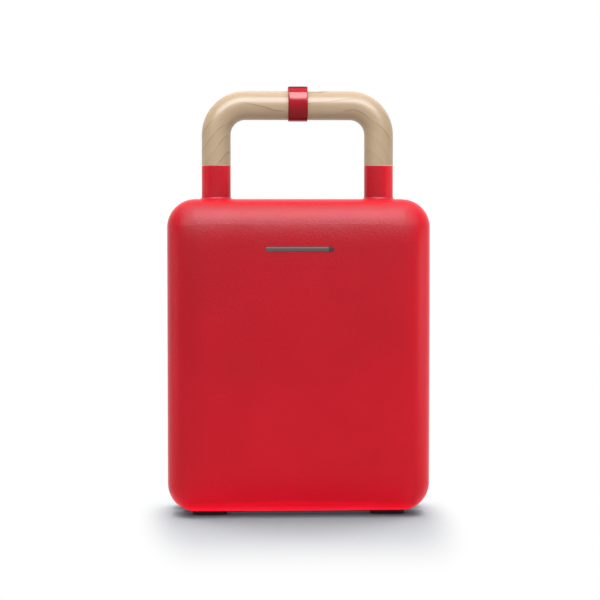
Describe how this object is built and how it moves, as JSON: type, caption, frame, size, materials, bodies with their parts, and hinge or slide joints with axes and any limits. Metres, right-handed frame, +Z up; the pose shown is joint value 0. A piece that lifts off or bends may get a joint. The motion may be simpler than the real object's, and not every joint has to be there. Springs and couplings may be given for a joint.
{
  "type": "sandwich and waffle maker",
  "caption": "Upright two-plate waffle and sandwich maker with rounded red shells, a split wooden loop handle, a clip and hinged lid.",
  "frame": {"origin": "centre of the footprint on the floor, standing on the hinge end as in the picture", "axes": "+Z up toward the handle, -Y toward the lid's front face, +X to the viewer's right"},
  "size_m": [0.23, 0.1, 0.3752],
  "materials": {
    "red_housing": "satin, fine moulded grain",
    "red_clip": "satin",
    "light_wood": "smooth, clear lacquer",
    "dark_bezel": "matte, heat resistant",
    "coated_plate": "dark non-stick coating on cast metal",
    "grey_plastic": "matte",
    "pale_plastic": "matte",
    "spring_steel": "bright strip",
    "element_sheath": "dull sheath",
    "sheet_steel": "plain sheet",
    "reflector_sheet": "bright sheet",
    "smoked_lens": "smoked grey",
    "lamp_glass": "clear",
    "screw_steel": "zinc plated",
    "pin_steel": "ground",
    "black_rubber": "matte",
    "lead_sleeve": "woven glass sleeve"
  },
  "bodies": {
    "base": {"back_feet": "black_rubber", "base_element_clamps": "sheet_steel", "base_frame": "dark_bezel", "base_frame_screws": "screw_steel", "base_grip_screws": "screw_steel", "base_heating_element": "element_sheath", "base_reflector": "reflector_sheet", "base_release_spring": "spring_steel", "base_shell": "red_housing", "base_standing_pads": "black_rubber", "base_waffle_plate": "coated_plate", "base_wiring": "lead_sleeve", "cord_gland": "black_rubber", "fuse_holder": "sheet_steel", "hinge_pins": "pin_steel", "rear_grip": "light_wood", "terminal_block": "pale_plastic", "terminal_screws": "screw_steel", "thermal_fuse": "element_sheath", "thermostat": "sheet_steel"},
    "lid": {"lid_shell": "red_housing", "lid_frame": "dark_bezel", "lid_waffle_plate": "coated_plate", "lid_heating_element": "element_sheath", "lid_element_clamps": "sheet_steel", "lid_reflector": "reflector_sheet", "lid_release_spring": "spring_steel", "front_grip": "light_wood", "clip_collar": "red_clip", "clip_pin": "pin_steel", "collar_screw": "screw_steel", "lid_grip_screws": "screw_steel", "lid_frame_screws": "screw_steel", "indicator_lens": "smoked_lens", "lamp_holder": "grey_plastic", "indicator_lamps": "lamp_glass", "lamp_holder_screws": "screw_steel", "lid_standing_pads": "black_rubber", "lid_wiring": "lead_sleeve"},
    "clip": {"latch_clip": "red_clip"},
    "base_release": {"base_plate_release": "grey_plastic"},
    "lid_release": {"lid_plate_release": "grey_plastic"}
  },
  "joints": [
    {"name": "lid_hinge", "type": "hinge", "parent": "base", "child": "lid", "pos_m": [0, 0, 0.012], "axis": [1, 0, 0], "range_deg": [0, 105]},
    {"name": "clip_hinge", "type": "hinge", "parent": "lid", "child": "clip", "pos_m": [0, -0.005, 0.3732], "axis": [1, 0, 0], "range_deg": [0, 100]},
    {"name": "base_release_slide", "type": "slide", "parent": "base", "child": "base_release", "axis": [0, 0, 1], "range_m": [0, 0.004], "stiffness_N_per_m": 600, "springref_m": -0.002, "deforming": ["base_release_spring"]},
    {"name": "lid_release_slide", "type": "slide", "parent": "lid", "child": "lid_release", "axis": [0, 0, 1], "range_m": [0, 0.004], "stiffness_N_per_m": 600, "springref_m": -0.002, "deforming": ["lid_release_spring"]}
  ]
}
